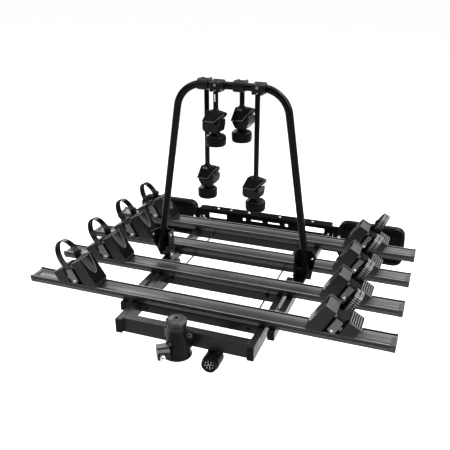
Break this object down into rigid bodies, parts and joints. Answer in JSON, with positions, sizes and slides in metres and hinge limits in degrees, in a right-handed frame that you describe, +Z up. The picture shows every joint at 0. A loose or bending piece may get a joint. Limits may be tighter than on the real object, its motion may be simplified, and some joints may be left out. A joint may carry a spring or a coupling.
{
  "type": "tow ball bike rack",
  "caption": "Bicycle carrier for a tow ball: tilting platform of wheel rails with sliding wheel stops, a folding hoop with clamp arms, and a rear light board.",
  "frame": {"origin": "centre of the 50 mm tow ball that the coupling sits on", "axes": "+X along the wheel rails, +Y rearwards away from the car, +Z up"},
  "size_m": [1.216, 0.9864, 0.7775],
  "materials": {
    "base_frame": "black powder coat, satin",
    "coupling_body": "black powder coat, satin",
    "coupling_bracket": "black powder coat, satin",
    "platform_frame": "black powder coat, satin",
    "hoop": "black powder coat, satin",
    "hoop_bracket_left": "black powder coat, satin",
    "hoop_bracket_right": "black powder coat, satin",
    "number_plate_panel": "black powder coat, satin",
    "release_rod_left": "black powder coat, satin",
    "release_rod_right": "black powder coat, satin",
    "base_cap_left": "black moulded, fine grain",
    "base_cap_right": "black moulded, fine grain",
    "platform_cap_left": "black moulded, fine grain",
    "platform_cap_right": "black moulded, fine grain",
    "coupling_lever": "black moulded, fine grain",
    "plug_holder": "black moulded, fine grain",
    "plug": "black moulded, fine grain",
    "tail_lamp_left": "black moulded, fine grain",
    "tail_lamp_right": "black moulded, fine grain",
    "coupling_knob": "dark grey moulded",
    "tilt_shaft": "zinc plated",
    "coupling_pin": "zinc plated",
    "lamp_lens_left": "red moulded",
    "lamp_lens_right": "red moulded",
    "wheel_rail_1": "dark anodised, brushed along its length",
    "arm_1_rod": "black powder coat, satin",
    "arm_1_claw": "black moulded, fine grain",
    "arm_1_jaw": "black moulded, fine grain",
    "arm_1_knob": "black moulded, fine grain",
    "wheel_support_1_left": "black moulded, fine grain",
    "wheel_strap_1_left": "black toothed band",
    "wheel_support_1_right": "black moulded, fine grain",
    "wheel_strap_1_right": "black toothed band",
    "wheel_rail_2": "dark anodised, brushed along its length",
    "arm_2_rod": "black powder coat, satin",
    "arm_2_claw": "black moulded, fine grain",
    "arm_2_jaw": "black moulded, fine grain",
    "arm_2_knob": "black moulded, fine grain",
    "wheel_support_2_left": "black moulded, fine grain",
    "wheel_strap_2_left": "black toothed band",
    "wheel_support_2_right": "black moulded, fine grain",
    "wheel_strap_2_right": "black toothed band",
    "wheel_rail_3": "dark anodised, brushed along its length",
    "arm_3_rod": "black powder coat, satin",
    "arm_3_claw": "black moulded, fine grain",
    "arm_3_jaw": "black moulded, fine grain",
    "arm_3_knob": "black moulded, fine grain",
    "wheel_support_3_left": "black moulded, fine grain",
    "wheel_strap_3_left": "black toothed band",
    "wheel_support_3_right": "black moulded, fine grain",
    "wheel_strap_3_right": "black toothed band",
    "wheel_rail_4": "dark anodised, brushed along its length",
    "arm_4_rod": "black powder coat, satin",
    "arm_4_claw": "black moulded, fine grain",
    "arm_4_jaw": "black moulded, fine grain",
    "arm_4_knob": "black moulded, fine grain",
    "wheel_support_4_left": "black moulded, fine grain",
    "wheel_strap_4_left": "black toothed band",
    "wheel_support_4_right": "black moulded, fine grain",
    "wheel_strap_4_right": "black toothed band"
  },
  "bodies": {
    "fixed_frame": {"base_frame": "base_frame", "base_cap_left": "base_cap_left", "base_cap_right": "base_cap_right", "tilt_shaft": "tilt_shaft", "coupling_body": "coupling_body", "coupling_bracket": "coupling_bracket", "coupling_pin": "coupling_pin", "plug_holder": "plug_holder", "plug": "plug"},
    "coupling_cap": {"coupling_knob": "coupling_knob"},
    "coupling_latch": {"coupling_lever": "coupling_lever"},
    "platform": {"platform_frame": "platform_frame", "platform_cap_left": "platform_cap_left", "platform_cap_right": "platform_cap_right", "wheel_rail_1": "wheel_rail_1", "wheel_rail_2": "wheel_rail_2", "wheel_rail_3": "wheel_rail_3", "wheel_rail_4": "wheel_rail_4", "hoop_bracket_left": "hoop_bracket_left", "hoop_bracket_right": "hoop_bracket_right", "number_plate_panel": "number_plate_panel", "tail_lamp_left": "tail_lamp_left", "tail_lamp_right": "tail_lamp_right", "lamp_lens_left": "lamp_lens_left", "lamp_lens_right": "lamp_lens_right", "release_rod_left": "release_rod_left", "release_rod_right": "release_rod_right"},
    "hoop": {"hoop": "hoop"},
    "arm_1": {"arm_1_rod": "arm_1_rod"},
    "arm_1_claw": {"arm_1_claw": "arm_1_claw"},
    "arm_1_jaw": {"arm_1_jaw": "arm_1_jaw"},
    "arm_1_knob": {"arm_1_knob": "arm_1_knob"},
    "arm_2": {"arm_2_rod": "arm_2_rod"},
    "arm_2_claw": {"arm_2_claw": "arm_2_claw"},
    "arm_2_jaw": {"arm_2_jaw": "arm_2_jaw"},
    "arm_2_knob": {"arm_2_knob": "arm_2_knob"},
    "arm_3": {"arm_3_rod": "arm_3_rod"},
    "arm_3_claw": {"arm_3_claw": "arm_3_claw"},
    "arm_3_jaw": {"arm_3_jaw": "arm_3_jaw"},
    "arm_3_knob": {"arm_3_knob": "arm_3_knob"},
    "arm_4": {"arm_4_rod": "arm_4_rod"},
    "arm_4_claw": {"arm_4_claw": "arm_4_claw"},
    "arm_4_jaw": {"arm_4_jaw": "arm_4_jaw"},
    "arm_4_knob": {"arm_4_knob": "arm_4_knob"},
    "wheel_stop_1_left": {"wheel_support_1_left": "wheel_support_1_left", "wheel_strap_1_left": "wheel_strap_1_left"},
    "wheel_stop_1_right": {"wheel_support_1_right": "wheel_support_1_right", "wheel_strap_1_right": "wheel_strap_1_right"},
    "wheel_stop_2_left": {"wheel_support_2_left": "wheel_support_2_left", "wheel_strap_2_left": "wheel_strap_2_left"},
    "wheel_stop_2_right": {"wheel_support_2_right": "wheel_support_2_right", "wheel_strap_2_right": "wheel_strap_2_right"},
    "wheel_stop_3_left": {"wheel_support_3_left": "wheel_support_3_left", "wheel_strap_3_left": "wheel_strap_3_left"},
    "wheel_stop_3_right": {"wheel_support_3_right": "wheel_support_3_right", "wheel_strap_3_right": "wheel_strap_3_right"},
    "wheel_stop_4_left": {"wheel_support_4_left": "wheel_support_4_left", "wheel_strap_4_left": "wheel_strap_4_left"},
    "wheel_stop_4_right": {"wheel_support_4_right": "wheel_support_4_right", "wheel_strap_4_right": "wheel_strap_4_right"}
  },
  "joints": [
    {"name": "platform_tilt", "type": "hinge", "parent": "fixed_frame", "child": "platform", "pos_m": [0, 0.46, 0.02], "axis": [-1, 0, 0], "range_deg": [0, 40]},
    {"name": "hoop_fold", "type": "hinge", "parent": "platform", "child": "hoop", "pos_m": [0, 0.468, 0.087], "axis": [1, 0, 0], "range_deg": [0, 75]},
    {"name": "coupling_cap_turn", "type": "hinge", "parent": "fixed_frame", "child": "coupling_cap", "pos_m": [0, 0, 0.077], "axis": [0, 0, 1], "continuous": true},
    {"name": "coupling_latch_swing", "type": "hinge", "parent": "fixed_frame", "child": "coupling_latch", "pos_m": [-0.03575, -0.04956, 0.0253], "axis": [0, 0, -1], "range_deg": [0, 80]},
    {"name": "arm_1_swing", "type": "hinge", "parent": "hoop", "child": "arm_1", "pos_m": [-0.098, 0.468, 0.693], "axis": [1, 0, 0], "range_deg": [0, 100]},
    {"name": "arm_1_claw_turn", "type": "hinge", "parent": "arm_1", "child": "arm_1_claw", "pos_m": [-0.098, 0.496, 0.411], "axis": [0, 0, 1], "range_deg": [-90, 90]},
    {"name": "arm_1_jaw_slide", "type": "slide", "parent": "arm_1_claw", "child": "arm_1_jaw", "axis": [0, 0, -1], "range_m": [0, 0.012]},
    {"name": "arm_1_knob_turn", "type": "hinge", "parent": "arm_1_jaw", "child": "arm_1_knob", "pos_m": [-0.098, 0.496, 0.3427], "axis": [0, 0, 1], "range_deg": [0, 1439]},
    {"name": "arm_2_swing", "type": "hinge", "parent": "hoop", "child": "arm_2", "pos_m": [-0.0445, 0.468, 0.693], "axis": [-1, 0, 0], "range_deg": [0, 100]},
    {"name": "arm_2_claw_turn", "type": "hinge", "parent": "arm_2", "child": "arm_2_claw", "pos_m": [-0.0445, 0.44, 0.616], "axis": [0, 0, 1], "range_deg": [-90, 90]},
    {"name": "arm_2_jaw_slide", "type": "slide", "parent": "arm_2_claw", "child": "arm_2_jaw", "axis": [0, 0, -1], "range_m": [0, 0.012]},
    {"name": "arm_2_knob_turn", "type": "hinge", "parent": "arm_2_jaw", "child": "arm_2_knob", "pos_m": [-0.0445, 0.44, 0.5477], "axis": [0, 0, 1], "range_deg": [0, 1439]},
    {"name": "arm_3_swing", "type": "hinge", "parent": "hoop", "child": "arm_3", "pos_m": [0.0248, 0.468, 0.693], "axis": [1, 0, 0], "range_deg": [0, 100]},
    {"name": "arm_3_claw_turn", "type": "hinge", "parent": "arm_3", "child": "arm_3_claw", "pos_m": [0.0248, 0.496, 0.6215], "axis": [0, 0, 1], "range_deg": [-90, 90]},
    {"name": "arm_3_jaw_slide", "type": "slide", "parent": "arm_3_claw", "child": "arm_3_jaw", "axis": [0, 0, -1], "range_m": [0, 0.012]},
    {"name": "arm_3_knob_turn", "type": "hinge", "parent": "arm_3_jaw", "child": "arm_3_knob", "pos_m": [0.0248, 0.496, 0.5532], "axis": [0, 0, 1], "range_deg": [0, 1439]},
    {"name": "arm_4_swing", "type": "hinge", "parent": "hoop", "child": "arm_4", "pos_m": [0.0945, 0.468, 0.693], "axis": [-1, 0, 0], "range_deg": [0, 100]},
    {"name": "arm_4_claw_turn", "type": "hinge", "parent": "arm_4", "child": "arm_4_claw", "pos_m": [0.0945, 0.44, 0.408], "axis": [0, 0, 1], "range_deg": [-90, 90]},
    {"name": "arm_4_jaw_slide", "type": "slide", "parent": "arm_4_claw", "child": "arm_4_jaw", "axis": [0, 0, -1], "range_m": [0, 0.012]},
    {"name": "arm_4_knob_turn", "type": "hinge", "parent": "arm_4_jaw", "child": "arm_4_knob", "pos_m": [0.0945, 0.44, 0.3397], "axis": [0, 0, 1], "range_deg": [0, 1439]},
    {"name": "wheel_stop_1_left_slide", "type": "slide", "parent": "platform", "child": "wheel_stop_1_left", "axis": [-1, 0, 0], "range_m": [-0.12, 0.08]},
    {"name": "wheel_stop_1_right_slide", "type": "slide", "parent": "platform", "child": "wheel_stop_1_right", "axis": [1, 0, 0], "range_m": [-0.12, 0.08]},
    {"name": "wheel_stop_2_left_slide", "type": "slide", "parent": "platform", "child": "wheel_stop_2_left", "axis": [-1, 0, 0], "range_m": [-0.12, 0.08]},
    {"name": "wheel_stop_2_right_slide", "type": "slide", "parent": "platform", "child": "wheel_stop_2_right", "axis": [1, 0, 0], "range_m": [-0.12, 0.08]},
    {"name": "wheel_stop_3_left_slide", "type": "slide", "parent": "platform", "child": "wheel_stop_3_left", "axis": [-1, 0, 0], "range_m": [-0.12, 0.08]},
    {"name": "wheel_stop_3_right_slide", "type": "slide", "parent": "platform", "child": "wheel_stop_3_right", "axis": [1, 0, 0], "range_m": [-0.12, 0.08]},
    {"name": "wheel_stop_4_left_slide", "type": "slide", "parent": "platform", "child": "wheel_stop_4_left", "axis": [-1, 0, 0], "range_m": [-0.12, 0.08]},
    {"name": "wheel_stop_4_right_slide", "type": "slide", "parent": "platform", "child": "wheel_stop_4_right", "axis": [1, 0, 0], "range_m": [-0.12, 0.08]}
  ],
  "couplings": [
    {"joint": "arm_1_jaw_slide", "follows": "arm_1_knob_turn", "m_per_rad": 0.00047746},
    {"joint": "arm_2_jaw_slide", "follows": "arm_2_knob_turn", "m_per_rad": 0.00047746},
    {"joint": "arm_3_jaw_slide", "follows": "arm_3_knob_turn", "m_per_rad": 0.00047746},
    {"joint": "arm_4_jaw_slide", "follows": "arm_4_knob_turn", "m_per_rad": 0.00047746}
  ]
}
